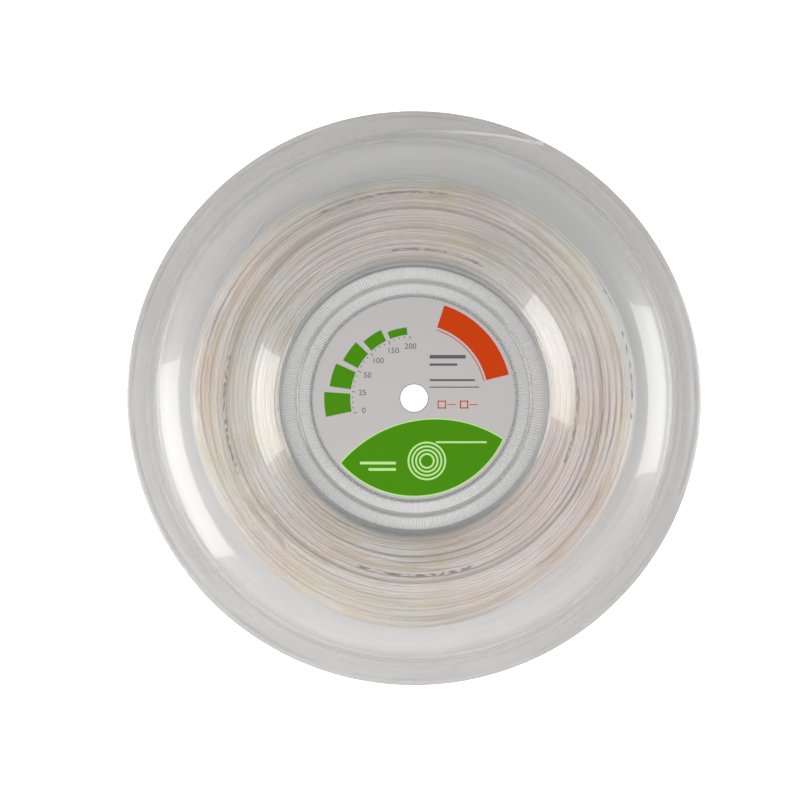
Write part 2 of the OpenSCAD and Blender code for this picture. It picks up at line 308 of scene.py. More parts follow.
def dress(piece, slot, *nodes):
    """Makes a piece ride with the reel and stand for CAD nodes; its slot is not used."""
    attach(piece, BODY)
    if nodes:
        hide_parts(*nodes)
    return piece


def refinish(node, material):
    """Gives a CAD node's object one new material."""
    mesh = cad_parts[node].data
    mesh.materials.clear()
    mesh.materials.append(material)


def only_verts(geometry):
    """The vertices among the geometry that a bmesh operator gives back."""
    return [part for part in geometry if isinstance(part, bmesh.types.BMVert)]


def chain(bm, points):
    """Adds points of a section, (radius, height), and returns their vertices."""
    return [bm.verts.new((r, 0, z)) for r, z in points]


def join(bm, line):
    """Joins a row of vertices by edges."""
    for a, b in zip(line, line[1:]):
        bm.edges.new((a, b))


def sweep_arc(bm, start, centre, angle, steps):
    """Sweeps a vertex about a centre in the section plane and returns the arc's vertices in order."""
    first = len(bm.verts)
    bmesh.ops.spin(bm, geom=[start], cent=(centre[0], 0, centre[1]), axis=(0, 1, 0),
                   angle=angle, steps=steps)
    bm.verts.ensure_lookup_table()
    return [start] + bm.verts[first:]


def round_corners(bm, corners, radius, segments):
    """Rounds the corners at some vertices."""
    return bmesh.ops.bevel(bm, geom=corners, affect="VERTICES", offset=radius, segments=segments,
                           profile=0.5, material=-1)


def full_turn(bm, sectors, steps):
    """Spins the whole section round the reel's axis: one sector first, then its copies."""
    section = bm.verts[:] + bm.edges[:]
    sector = 2 * math.pi / sectors
    bmesh.ops.spin(bm, geom=section, cent=(0, 0, 0), axis=(0, 0, 1), angle=sector, steps=steps)
    whole = bm.verts[:] + bm.edges[:] + bm.faces[:]
    for i in range(1, sectors):
        copy = bmesh.ops.duplicate(bm, geom=whole)["geom"]
        bmesh.ops.rotate(bm, cent=(0, 0, 0), matrix=Matrix.Rotation(i * sector, 3, "Z"),
                         verts=only_verts(copy))
    bmesh.ops.remove_doubles(bm, verts=bm.verts, dist=1e-6)
    bmesh.ops.recalc_face_normals(bm, faces=bm.faces)


# ---- shader helpers ----

def new_material(name):
    """A material with nothing in it but its output."""
    material = bpy.data.materials.new(name)
    material.use_nodes = True
    tree = material.node_tree
    tree.nodes.clear()
    return material, tree, tree.nodes.new("ShaderNodeOutputMaterial")


def add(tree, kind, inputs=None, **settings):
    """Adds a node, with its settings and the values or links of its inputs."""
    node = tree.nodes.new(kind)
    for key, value in settings.items():
        setattr(node, key, value)
    for key, value in (inputs or {}).items():
        if isinstance(value, bpy.types.NodeSocket):
            tree.links.new(value, node.inputs[key])
        else:
            node.inputs[key].default_value = value
    return node


def maths(tree, operation, *values):
    """Result of a calculation on values or links."""
    return add(tree, "ShaderNodeMath", dict(enumerate(values)), operation=operation).outputs[0]


def ramp(tree, value, low, high, to_low=0.0, to_high=1.0):
    """Runs from one result to another while a value goes from low to high, and stays level beyond."""
    return add(tree, "ShaderNodeMapRange",
               {"Value": value, "From Min": low, "From Max": high, "To Min": to_low,
                "To Max": to_high}).outputs["Result"]


def blended(tree, first, second, mask=1.0, how="MIX"):
    """Blends a second colour over the first as far as a mask says."""
    return add(tree, "ShaderNodeMix", {"Factor": mask, "A": first, "B": second},
               data_type="RGBA", blend_type=how).outputs["Result"]


def tinted(tree, colour, tone, mask=1.0):
    """Multiplies a colour by a tone as far as a mask says."""
    return blended(tree, colour, tone, mask, "MULTIPLY")


def noise_value(tree, where, scale, detail=2.0, dimensions="3D", **inputs):
    """Value of a noise texture."""
    return add(tree, "ShaderNodeTexNoise",
               {"Vector": where, "Scale": scale, "Detail": detail, **inputs},
               noise_dimensions=dimensions).outputs["Fac"]


def bumped(tree, height, strength, distance):
    """Normals bent by a fine height."""
    return add(tree, "ShaderNodeBump", {"Height": height, "Strength": strength,
                                        "Distance": distance}).outputs["Normal"]


def split(tree, vector):
    """The X, Y and Z outputs of a vector."""
    return add(tree, "ShaderNodeSeparateXYZ", {0: vector}).outputs


def object_space(tree):
    """Place on the piece, in metres."""
    return add(tree, "ShaderNodeTexCoord").outputs["Object"]


def flattened(tree, where):
    """A place brought down to the middle plane."""
    return add(tree, "ShaderNodeMapping", {"Vector": where,
                                           "Scale": (1.0, 1.0, 0.0)}).outputs["Vector"]


def place_on_reel(tree, where):
    """A place as its X and Y and its distance from the reel's axis."""
    axes = split(tree, where)
    radius = add(tree, "ShaderNodeVectorMath", {0: flattened(tree, where)},
                 operation="LENGTH").outputs["Value"]
    return SimpleNamespace(where=where, x=axes["X"], y=axes["Y"], radius=radius)


def band_mask(tree, value, middle, inner, outer):
    """1 within inner of a middle value, falling to 0 at outer."""
    off = maths(tree, "ABSOLUTE", maths(tree, "SUBTRACT", value, middle))
    return ramp(tree, off, outer, inner)


def streak_noise(tree, at, along, across):
    """Noise drawn out round the reel's axis: its detail along a turn and across the turns."""
    unit = add(tree, "ShaderNodeVectorMath", {0: flattened(tree, at.where)}, operation="NORMALIZE")
    height = add(tree, "ShaderNodeCombineXYZ", {2: maths(tree, "MULTIPLY", at.radius, across)})
    place = add(tree, "ShaderNodeVectorMath",
                {0: unit.outputs["Vector"], 1: (along, along, 0.0), 2: height.outputs[0]},
                operation="MULTIPLY_ADD")
    return noise_value(tree, place.outputs["Vector"], 1.0)


# ---- shared node groups: each function fills one and returns what it puts out ----

def handling_marks(tree, given):
    """Fine scuffs and hazy finger marks, from 0 where clean to 1."""
    smudge = noise_value(tree, given["Vector"], given["Smudge size"], 4.0, Roughness=0.6)
    scuff = noise_value(tree, given["Vector"], given["Scuff size"], Distortion=1.5)
    return maths(tree, "MAXIMUM", ramp(tree, smudge, 0.45, 0.75), ramp(tree, scuff, 0.62, 0.72))


def fine_relief(tree, given):
    """Fine uneven relief, as a height for a bump."""
    return noise_value(tree, given["Vector"], given["Grain"], 3.0, Roughness=0.55)


def patched(tree, colour, at):
    """Tints a colour by pinkish, greenish and ochre patches."""
    for scale, shift, low, high, tone in PATCHES:
        place = add(tree, "ShaderNodeMapping", {"Vector": at.where,
                                                "Location": (shift, shift, 0.0)})
        patch = noise_value(tree, place.outputs["Vector"], scale)
        colour = tinted(tree, colour, tone, ramp(tree, patch, low, high))
    return colour


def painted_furrow_and_edge_shade(tree, colour, at, side, rim):
    """Paints shade into the furrows, ochre, and onto the edge at both ends of the Y axis, greyer, in broken
    stretches.
    """
    stretches = ramp(tree, noise_value(tree, at.where, 16.0, 1.0), 0.26, 0.50)
    widths = (ramp(tree, at.x, -0.085, -0.02, 0.0028, 0.0011), 0.0011, 0.0009)
    turn = maths(tree, "ARCTAN2", at.y, at.x)
    # Painted shade: the edge's ends first, then each furrow
    painted_shades = [(ramp(tree, side, 0.05, 0.02, 0.0, rim), EDGE_END_SHADE)]
    for (middle, swing, phase, _, _), width, tone in zip(FURROWS, widths, FURROW_SHADES):
        wave = maths(tree, "SINE", maths(tree, "ADD", turn, phase))
        line = maths(tree, "MULTIPLY_ADD", wave, swing, middle)
        painted_shades.append((band_mask(tree, at.radius, line, 0.0002, width), tone))
    for mask, tone in painted_shades:
        colour = tinted(tree, colour, tone, maths(tree, "MULTIPLY", mask, stretches))
    return colour


def painted_edge_light(tree, colour, at, rim):
    """Paints light onto the pack's edge, lighter and cooler: the rim all round but below, and both sides."""
    # Painted light on the rim all round but below, and on both sides
    above = ramp(tree, at.y, -0.08, -0.03, 0.0, rim)
    skirt = ramp(tree, at.radius, 0.090, 0.098)
    right = ramp(tree, at.y, -0.05, 0.0, 0.0, ramp(tree, at.x, 0.03, 0.07))
    left = ramp(tree, at.x, -0.07, -0.095, 0.0, 0.55)
    painted_flank_light = maths(tree, "MULTIPLY", maths(tree, "MAXIMUM", right, left), skirt)
    colour = tinted(tree, colour, EDGE_PAINTED_LIGHT, above)
    return tinted(tree, colour, FLANK_PAINTED_LIGHT, painted_flank_light)


def nylon_tone(tree, given):
    """Drift of tone over the wound nylon: patches, dull and brown strands, painted shade in the furrows, at
    the edge's ends, at the toe and towards +Y, and painted light on the edge and both sides.
    """
    at = place_on_reel(tree, given["Vector"])
    side = maths(tree, "ABSOLUTE", at.x)
    rim = ramp(tree, at.radius, PACK_R - 0.004, PACK_R)
    streak = streak_noise(tree, at, 1.8, 190.0)
    few = noise_value(tree, given["Along"], 3.7, 0.0, "2D")
    strand = noise_value(tree, given["Along"], 1.3, 1.0, "2D")
    colour = patched(tree, given["Base"], at)
    colour = painted_furrow_and_edge_shade(tree, colour, at, side, rim)
    colour = tinted(tree, colour, DULL_STRAND, ramp(tree, streak, 0.52, 0.70))
    colour = tinted(tree, colour, BROWN_STRAND, ramp(tree, few, 0.63, 0.72))
    colour = painted_edge_light(tree, colour, at, rim)
    level = ramp(tree, strand, 0.3, 0.7, 0.95, 1.05)
    # Painted shade and light: dark at the toe, most where X is small, darker towards +Y, lighter at both
    # sides
    toe_shade = ramp(tree, side, 0.02, 0.050, 0.18, 0.9)
    toe = ramp(tree, at.radius, TOE_R + 0.0005, TOE_R + 0.0060, toe_shade, 1.0)
    far_side_shade = ramp(tree, at.y, -0.02, 0.07, 1.0, 0.80)
    painted_flank_light = ramp(tree, side, 0.03, 0.10, 1.0, 1.2)
    light_strands = ramp(tree, streak, 0.46, 0.32, 1.0, 1.07)
    for part in (toe, far_side_shade, painted_flank_light, light_strands):
        level = maths(tree, "MULTIPLY", level, part)
    return tinted(tree, colour, level)


def printed_dashes(tree, given):
    """Rows of short dashes printed along the strand now and then: 1 on a dash."""
    rows = maths(tree, "MULTIPLY_ADD", split(tree, given["Along"])["X"], given["Rows a turn"], 0.5)
    in_row = maths(tree, "LESS_THAN", maths(tree, "FRACT", rows), 0.022)
    scale = add(tree, "ShaderNodeCombineXYZ", {0: given["Dashes a turn"], 1: 4.5, 2: 1.0})
    fine = add(tree, "ShaderNodeVectorMath", {0: given["Along"], 1: scale.outputs[0]},
               operation="MULTIPLY")
    speck = noise_value(tree, fine.outputs["Vector"], 1.0, 0.0, "2D")
    return maths(tree, "MULTIPLY", in_row, ramp(tree, speck, 0.48, 0.50))


# Each shared group: what fills it, its inputs as (name, kind, default), and its output
GROUPS = {
    "Handling marks": (handling_marks, (("Vector", "Vector", None), ("Smudge size", "Float", 40.0),
                                        ("Scuff size", "Float", 900.0)), ("Mask", "Float")),
    "Fine relief": (fine_relief, (("Vector", "Vector", None), ("Grain", "Float", 1200.0)),
                    ("Height", "Float")),
    "Nylon tone": (nylon_tone, (("Base", "Color", None), ("Along", "Vector", None),
                                ("Vector", "Vector", None)), ("Colour", "Color")),
    "Printed dashes": (printed_dashes, (("Along", "Vector", None), ("Rows a turn", "Float", 0.21),
                                        ("Dashes a turn", "Float", 170.0)), ("Mask", "Float")),
}


def shared_group(name):
    """A shared node group, built when it is first asked for."""
    if name in bpy.data.node_groups:
        return bpy.data.node_groups[name]
    fill, inputs, (result, result_kind) = GROUPS[name]
    tree = bpy.data.node_groups.new(name, "ShaderNodeTree")
    for label, kind, default in inputs:
        socket = tree.interface.new_socket(label, in_out="INPUT", socket_type=f"NodeSocket{kind}")
        if default is not None:
            socket.default_value = default
    tree.interface.new_socket(result, in_out="OUTPUT", socket_type=f"NodeSocket{result_kind}")
    given = tree.nodes.new("NodeGroupInput").outputs
    out = tree.nodes.new("NodeGroupOutput").inputs
    tree.links.new(fill(tree, given), out[result])
    return tree


def use_group(tree, name, inputs):
    """Places a shared node group with its own values and returns its output."""
    return add(tree, "ShaderNodeGroup", inputs, node_tree=shared_group(name)).outputs[0]


# ---- materials ----

def finish_material(tree, out, inputs, **settings):
    """Gives a material its opaque or translucent surface."""
    shader = add(tree, "ShaderNodeBsdfPrincipled", inputs, **settings)
    tree.links.new(shader.outputs[0], out.inputs["Surface"])


def finish_clear_material(tree, out, inputs, passing):
    """Gives a clear sheet its surface, and lets tinted light straight through to what lies behind it.

    Shadow and diffuse rays meet a tinted see-through surface in its place, so light reaches the string.
    """
    shader = add(tree, "ShaderNodeBsdfPrincipled", inputs)
    clear = add(tree, "ShaderNodeBsdfTransparent", {"Color": passing})
    path = add(tree, "ShaderNodeLightPath")
    for ray in ("Is Shadow Ray", "Is Diffuse Ray"):
        shader = add(tree, "ShaderNodeMixShader",
                     {0: path.outputs[ray], 1: shader.outputs[0], 2: clear.outputs[0]})
    tree.links.new(shader.outputs[0], out.inputs["Surface"])


def clear_plastic(name, tint, haze, clearness):
    """Slightly milky clear sheet with a glossy skin and faint scuffs and flow streaks.

    It is dulled where the rim wall was drawn, carries painted shade in a soft ring at the wall's foot, and
    is darker in broken thin lines at the flare.
    """
    material, tree, out = new_material(name)
    at = place_on_reel(tree, object_space(tree))
    marks = use_group(tree, "Handling marks", {"Vector": at.where})
    rough = ramp(tree, marks, 0.0, 1.0, haze, haze + 0.025)
    wall = band_mask(tree, at.radius, *WALL_BAND)
    flare_breaks = ramp(tree, noise_value(tree, at.where, 35.0), 0.34, 0.55)
    flare_line = maths(tree, "MULTIPLY", band_mask(tree, at.radius, *FLARE_BAND), flare_breaks)
    flow = ramp(tree, streak_noise(tree, at, 2.5, 420.0), 0.45, 0.62)
    colour = tint
    # Painted shade at the wall's foot, a darker broken line at the flare, and faint flow streaks
    for mask, tone in ((band_mask(tree, at.radius, *FOOT_SHADE_BAND), 0.94), (flare_line, 0.86), (flow, 0.96)):
        colour = tinted(tree, colour, (tone, tone, tone, 1.0), mask)
    finish_clear_material(
        tree, out,
        {"Base Color": colour, "Roughness": maths(tree, "MULTIPLY_ADD", wall, 0.35, rough),
         "IOR": 1.5, "Transmission Weight": clearness,
         "Coat Weight": maths(tree, "SUBTRACT", 1.0, wall), "Coat Roughness": 0.03},
        (0.97, 0.97, 0.968, 1.0))
    return material


def frosted_plastic(settings):
    """The same sheet where its fine ribs are moulded, hazier, with painted shade in the grooves between the
    ribs and a painted dark line at the toe.
    """
    material, tree, out = new_material("Frosted ribbed plastic")
    at = place_on_reel(tree, object_space(tree))
    marks = use_group(tree, "Handling marks", {"Vector": at.where, "Smudge size": 90.0})
    rough = ramp(tree, marks, 0.0, 1.0, settings.frost, settings.frost + 0.15)
    turn = maths(tree, "ARCTAN2", at.y, at.x)
    wave = maths(tree, "COSINE", maths(tree, "MULTIPLY", turn, float(settings.ribs)))
    notched = ramp(tree, at.radius, STEP_1[0] + NOTCH_RUN, STEP_1[0] + 0.3 * NOTCH_RUN, 0.14, 0.36)
    # Painted shade in the grooves between the ribs, deepest at the notches by the label's edge
    grooves = maths(tree, "MULTIPLY", ramp(tree, wave, -0.2, 0.6), notched)
    # Painted shade: a dark line at the toe, stronger towards +Y
    toe = maths(tree, "MULTIPLY", band_mask(tree, at.radius, *TOE_SHADE_BAND),
                ramp(tree, at.y, 0.0, 0.05, 0.1, 0.65))
    colour = blended(tree, (0.86, 0.86, 0.858, 1.0), (0.13, 0.13, 0.13, 1.0),
                     maths(tree, "MAXIMUM", grooves, toe))
    relief = use_group(tree, "Fine relief", {"Vector": at.where, "Grain": 1600.0})
    finish_clear_material(
        tree, out,
        {"Base Color": colour, "Roughness": rough, "IOR": 1.5, "Transmission Weight": 0.75,
         "Normal": bumped(tree, relief, 0.25, 0.0001)},
        (0.92, 0.92, 0.92, 1.0))
    return material


def string_nylon(name, colour, turns, clearness=0.0, below=0.0):
    """Translucent nylon with short dashes printed along it.

    With clearness it is a single strand, lighter where it lies between the lips, a painted highlight.
    Without, its tone drifts over the pack, and the first share of its path, which lies below the top layer,
    is warmer and darker, painted shade.
    """
    material, tree, out = new_material(name)
    where = object_space(tree)
    uv = add(tree, "ShaderNodeUVMap", uv_map="UVMap").outputs["UV"]
    along = add(tree, "ShaderNodeMapping",
                {"Vector": uv, "Scale": (turns, 1.0, 1.0)}).outputs["Vector"]
    if clearness:
        # Painted highlight: the free end is lighter towards +X, where it lies between the lips
        tone = ramp(tree, split(tree, where)["X"], 0.008, 0.022, 0.62, 1.0)
        base = tinted(tree, colour, tone)
    else:
        base = use_group(tree, "Nylon tone", {"Base": colour, "Along": along, "Vector": where})
        # Painted shade: the skin's lower layer, seen in the gaps, is warmer and darker
        under_shade = maths(tree, "LESS_THAN", split(tree, uv)["X"], below)
        base = tinted(tree, base, UNDER_SHADE, under_shade)
    dashes = use_group(tree, "Printed dashes", {"Along": along})
    relief = use_group(tree, "Fine relief", {"Vector": where, "Grain": 700.0})
    finish_material(
        tree, out,
        {"Base Color": blended(tree, base, DASH_INK, dashes), "Roughness": 0.4, "IOR": 1.5,
         "Subsurface Weight": 1.0, "Subsurface Radius": (1.0, 0.85, 0.65),
         "Subsurface Scale": 0.0045, "Transmission Weight": clearness,
         "Normal": bumped(tree, relief, 0.2, 0.0001)}, subsurface_method="BURLEY")
    return material


def mottled(tree, colour, grain, low, high):
    """A colour made darker and lighter by fine relief, and the relief."""
    relief = use_group(tree, "Fine relief", {"Vector": object_space(tree), "Grain": grain})
    return tinted(tree, colour, ramp(tree, relief, 0.0, 1.0, low, high)), relief


def label_paper(settings):
    """Satin label paper with a faint fibre."""
    material, tree, out = new_material("Label paper")
    colour, relief = mottled(tree, settings.paper, 2600.0, 0.96, 1.03)
    finish_material(tree, out, {"Base Color": colour, "Roughness": 0.55,
                                "Normal": bumped(tree, relief, 0.15, 0.00005)})
    return material


def printing_ink(name, colour):
    """Printing ink on the label, slightly uneven."""
    material, tree, out = new_material(name)
    tint, _ = mottled(tree, colour, 1800.0, 0.9, 1.08)
    finish_material(tree, out, {"Base Color": tint, "Roughness": 0.55, "Specular IOR Level": 0.1})
    return material


def milky_adhesive():
    """Translucent adhesive with small bubbles."""
    material, tree, out = new_material("Milky adhesive")
    relief = use_group(tree, "Fine relief", {"Vector": object_space(tree), "Grain": 500.0})
    finish_material(tree, out, {"Base Color": (0.86, 0.87, 0.85, 1.0),
                                "Roughness": ramp(tree, relief, 0.0, 1.0, 0.3, 0.6),
                                "Transmission Weight": 0.3,
                                "Normal": bumped(tree, relief, 0.5, 0.0002)})
    return material


def pale_floor():
    """Pale floor, brighter where it is seen directly."""
    material, tree, out = new_material("Studio floor")
    diffuse = add(tree, "ShaderNodeBsdfDiffuse", {"Color": (0.82, 0.82, 0.83, 1.0)})
    lifted = add(tree, "ShaderNodeEmission", {"Color": (1.0, 1.0, 1.0, 1.0), "Strength": 1.0})
    both = add(tree, "ShaderNodeAddShader", {0: diffuse.outputs[0], 1: lifted.outputs[0]})
    path = add(tree, "ShaderNodeLightPath")
    mix = add(tree, "ShaderNodeMixShader",
              {0: path.outputs["Is Camera Ray"], 1: diffuse.outputs[0], 2: both.outputs[0]})
    tree.links.new(mix.outputs[0], out.inputs["Surface"])
    return material


# ---- operators and the shapes they build ----

def hub_points(depth, inset):
    """Section of the hub floor and its two steps at a depth in the sheet, with points beside the corners."""
    edge_1 = FLOOR_Z + STEP_H - depth
    edge_2 = FLOOR_Z + 2 * STEP_H - depth
    return [
        (BORE_R, FLOOR_Z - depth), (FLOOR_R + depth, FLOOR_Z - depth),
        (STEP_1[0] + depth, edge_1), (STEP_1[0] + depth + inset, edge_1),
        (STEP_1[0] + depth + NOTCH_RUN, edge_1), (STEP_1[1] + depth - inset, edge_1),
        (STEP_1[1] + depth, edge_1), (STEP_2[0] + depth - GROOVE_RUN, edge_1 + GROOVE_RISE),
        (STEP_2[0] + depth, edge_2), (STEP_2[0] + depth + inset, edge_2),
        (STEP_2[1] + depth - inset, edge_2), (STEP_2[1] + depth, edge_2)]


def lip_points(depth):
    """Section of the rim lip and its flared edge at a depth in the sheet."""
    return [(LIP_IN_R - depth, LIP_Z - depth), (FLARE_R - FLARE_RUN, LIP_Z - depth),
            (FLARE_R, LIP_Z + FLARE_H - depth), (REEL_R, LIP_Z + FLARE_H - depth)]


def shell_section(bm, settings):
    """Closed section of one half shell above the middle plane, with rounded corners."""
    run, drop = WALL_R - CREST_OUT_R, HALF_H - LIP_Z - WALL_H
    outer_r = (run * run + drop * drop) / (2 * drop)
    inner_a = math.asin((CREST_IN_R - TOE_R - TOE_RUN) / SLOPE_R)
    sharp, soft, ends = [], [], []
    for depth in (0.0, settings.sheet):
        hub = chain(bm, hub_points(depth, 2 * settings.fillet))
        crest_in = bm.verts.new((CREST_IN_R, 0, HALF_H - depth))
        inner = sweep_arc(bm, crest_in, (CREST_IN_R, HALF_H - SLOPE_R), -inner_a,
                          SLOPE_STEPS)[::-1]
        crest_out = bm.verts.new((CREST_OUT_R, 0, HALF_H - depth))
        outer_a = math.asin((WALL_R - depth - CREST_OUT_R) / (outer_r - depth))
        outer = sweep_arc(bm, crest_out, (CREST_OUT_R, HALF_H - outer_r), outer_a, BROW_STEPS)
        lip = chain(bm, lip_points(depth))
        join(bm, hub + inner[:1])
        join(bm, [crest_in, crest_out])
        join(bm, outer[-1:] + lip)
        sharp += [hub[i] for i in (1, 2, 8, 11)] + [inner[0]] + lip[1:]
        soft += [outer[-1], lip[0]]
        ends.append((hub[0], lip[-1]))
    for outside, inside in zip(*ends):
        join(bm, [outside, inside])
    round_corners(bm, sharp, settings.fillet, 2)
    round_corners(bm, soft, settings.soft_fillet, 5)


def ripple(r, angle, ripples, seed):
    """Smooth unevenness of the sheet, from 0 to twice its share."""
    around, outwards, share = ripples
    spot = Vector((around * math.cos(angle), around * math.sin(angle), outwards * r + seed))
    return share * (1 + noise.noise(spot))


def mould_details(bm, settings, seed):
    """Raises the fine ribs on the two steps, cuts their notches and presses soft ripples into the sheet."""
    columns = 2 * settings.ribs
    inset = settings.fillet * 1.5
    rib_reach, notch_reach = 0.0001, 0.0004
    for v in bm.verts:
        r = math.hypot(v.co.x, v.co.y)
        angle = math.atan2(v.co.y, v.co.x)
        ridge = round(angle / (2 * math.pi) * columns) % 2
        for number, (r0, r1) in enumerate((STEP_1, STEP_2), start=1):
            top = FLOOR_Z + number * STEP_H
            if ridge and r0 + inset < r < r1 - inset and v.co.z > top - rib_reach:
                v.co.z += settings.rib_height
        notch = 1 - (r - STEP_1[0]) / NOTCH_RUN
        if not ridge and -0.05 < notch < 1.2 and v.co.z > FLOOR_Z + STEP_H - notch_reach:
            v.co.z -= settings.notch * min(max(notch, 0), 1)
        if TOE_R < r < LIP_IN_R:
            window = math.sin(math.pi * (r - TOE_R) / (LIP_IN_R - TOE_R))
            v.co.z -= settings.ripple * window * ripple(r, angle, BULGE_RIPPLES, seed)
        elif RIPPLED_LIP[0] < r < RIPPLED_LIP[1]:
            v.co.z -= settings.ripple * ripple(r, angle, LIP_RIPPLES, seed)


def share_out_finishes(bm):
    """Gives each face the first material on the bulge, the second on the steps or the third on the lip."""
    for face in bm.faces:
        middle = face.calc_center_median()
        r = math.hypot(middle.x, middle.y)
        on_step = any(r0 < r < r1 for r0, r1 in (STEP_1, STEP_2))
        frosted = on_step or STEP_2[1] <= r < TOE_R + TOE_RUN
        face.material_index = 1 if frosted else 2 if r > LIP_FINISH_R else 0
        face.smooth = not on_step


class REEL_OT_shells(bpy.types.Operator):
    """Build the two clear half shells with their ribbed hub, bulge and rim lip"""

    bl_idname = "reel.shells"
    bl_label = "Clear shells"

    def execute(self, context):
        settings = context.scene.reel_shell
        frosted = frosted_plastic(settings)
        lip = clear_plastic("Clear rim lip", settings.lip_tint, settings.haze, settings.clearness)
        master = bmesh.new()
        shell_section(master, settings)
        full_turn(master, SECTORS, 2 * settings.ribs // SECTORS)
        for side, turn, seed, haze in (("front", 0, 1.0, settings.haze),
                                       ("rear", math.pi, 9.0, settings.rear_haze)):
            sheet = clear_plastic(f"Clear formed plastic, {side}", settings.tint, haze,
                                  settings.clearness)
            bm = master.copy()
            mould_details(bm, settings, seed)
            share_out_finishes(bm)
            place = Matrix.Translation((0, 0, MID_Z)) @ Matrix.Rotation(turn, 4, "X")
            bmesh.ops.transform(bm, matrix=place, verts=bm.verts)
            piece = finish_mesh(bm, f"clear_{side}_shell", sheet, frosted, lip)
            dress(piece, "clear_shell", f"{side}_shell")
        master.free()
        return {"FINISHED"}


class REEL_OT_bond(bpy.types.Operator):
    """Give the hub's adhesive ring its milky finish"""

    bl_idname = "reel.bond"
    bl_label = "Hub bond"

    def execute(self, context):
        refinish("hub_bond", milky_adhesive())
        return {"FINISHED"}


def rounded_bar(bm, x, y, width, height, turn=0.0, corner=0.0):
    """A flat bar about a point, with rounded corners if asked."""
    made = bmesh.ops.create_grid(bm, x_segments=1, y_segments=1, size=0.5)["verts"]
    bmesh.ops.scale(bm, vec=(width, height, 1), verts=made)
    if corner:
        rounded = round_corners(bm, made, corner, 3)
        made = list({v for face in rounded["faces"] for v in face.verts}) or rounded["verts"]
    bmesh.ops.transform(bm, verts=made, matrix=Matrix.Translation((x, y, 0))
                        @ Matrix.Rotation(turn, 4, "Z"))


def ring_sector(bm, r0, r1, start, sweep, steps, centre=(0, 0)):
    """A flat piece of a ring between two angles, or a whole ring."""
    ends = [bm.verts.new((centre[0] + r * math.cos(start), centre[1] + r * math.sin(start), 0))
            for r in (r0, r1)]
    edge = bm.edges.new(ends)
    bmesh.ops.spin(bm, geom=ends + [edge], cent=(*centre, 0), axis=(0, 0, 1), angle=sweep,
                   steps=steps, use_merge=sweep > 6.28)


def draw_field(bm, grow=0.0):
    """The green field: the part of the label inside a big circle, cut fine enough to look round."""
    bmesh.ops.create_circle(bm, cap_ends=True, radius=PRINT_R + grow, segments=192)
    for i in range(FIELD_CUTS):
        a = math.radians(FIELD_START + i * FIELD_CUT_STEP)
        edge = Vector((math.cos(a), math.sin(a), 0))
        bmesh.ops.bisect_plane(bm, geom=bm.verts[:] + bm.edges[:] + bm.faces[:],
                               plane_co=Vector(FIELD_CENTRE) + edge * (FIELD_R + grow),
                               plane_no=edge, clear_outer=True)


def draw_field_rim(bm):
    """A paler rim that stands out round the green field."""
    draw_field(bm, FIELD_RIM)


def draw_coil(bm):
    """A coil of rings, with a line led off it and two lines beside it."""
    for i in range(COIL_RINGS):
        ring_sector(bm, COIL_IN_R + COIL_STEP * i, COIL_OUT_R + COIL_STEP * i, 0, 2 * math.pi, 64,
                    COIL_CENTRE)
    for x, y, width, height in COIL_BARS:
        rounded_bar(bm, COIL_CENTRE[0] + x, COIL_CENTRE[1] + y, width, height, corner=0.0003)


def draw_band(bm):
    """The orange band, an arc along the label's edge."""
    ring_sector(bm, BAND_R, PRINT_R, math.radians(BAND_START), math.radians(BAND_SWEEP), 40)


def draw_orange_lines(bm):
    """A thin line inside the band, and two small squares with a dash each."""
    ring_sector(bm, *BAND_LINE, math.radians(BAND_START), math.radians(BAND_SWEEP), 40)
    for x, y in SQUARES:
        for dx, dy, width, height in SQUARE_BARS:
            rounded_bar(bm, x + dx, y + dy, width, height)


def draw_gauge(bm):
    """The gauge's blocks, each longer than the last."""
    for i in range(BLOCKS):
        ring_sector(bm, GAUGE_R, GAUGE_R + BLOCK_H + BLOCK_GROWTH * i,
                    math.radians(GAUGE_START + GAUGE_STEP * i),
                    math.radians(GAUGE_STEP - BLOCK_GAP), 12)


def draw_rules(bm):
    """The gauge's ticks, every fourth one long, and rules where small print would stand."""
    for i in range(4 * BLOCKS + 1):
        a = math.radians(SCALE_START + GAUGE_STEP / 4 * i)
        inwards, length = SHORT_TICK if i % 4 else LONG_TICK
        r = GAUGE_R - inwards
        rounded_bar(bm, r * math.cos(a), r * math.sin(a), length, TICK_W, turn=a)
    for bar in RULES:
        rounded_bar(bm, *bar, corner=0.0002)


def draw_numbers(bm):
    """The gauge's plain numbers."""
    for i, text in enumerate(NUMBERS):
        curve = bpy.data.curves.new("number", "FONT")
        curve.body = text
        curve.size = NUMBER_H
        curve.align_x = "CENTER"
        curve.align_y = "CENTER"
        curve.resolution_u = 3
        a = math.radians(SCALE_START + GAUGE_STEP * i)
        r = GAUGE_R - NUMBER_GAP
        mesh = mesh_from_curve(curve)
        mesh.transform(Matrix.Translation((r * math.cos(a), r * math.sin(a), 0)))
        bm.from_mesh(mesh)
        bpy.data.meshes.remove(mesh)


# Each print on the label: what draws it, its ink, and how many films of ink it stands up
PRINTS = {
    "label_field_rim": (draw_field_rim, "pale", 1),
    "label_green_field": (draw_field, "green", 2),
    "label_coil_mark": (draw_coil, "pale", 3),
    "label_orange_band": (draw_band, "orange", 1),
    "label_orange_lines": (draw_orange_lines, "orange", 1),
    "label_gauge_blocks": (draw_gauge, "green", 1),
    "label_grey_rules": (draw_rules, "grey", 1),
    "label_gauge_numbers": (draw_numbers, "grey", 1),
}


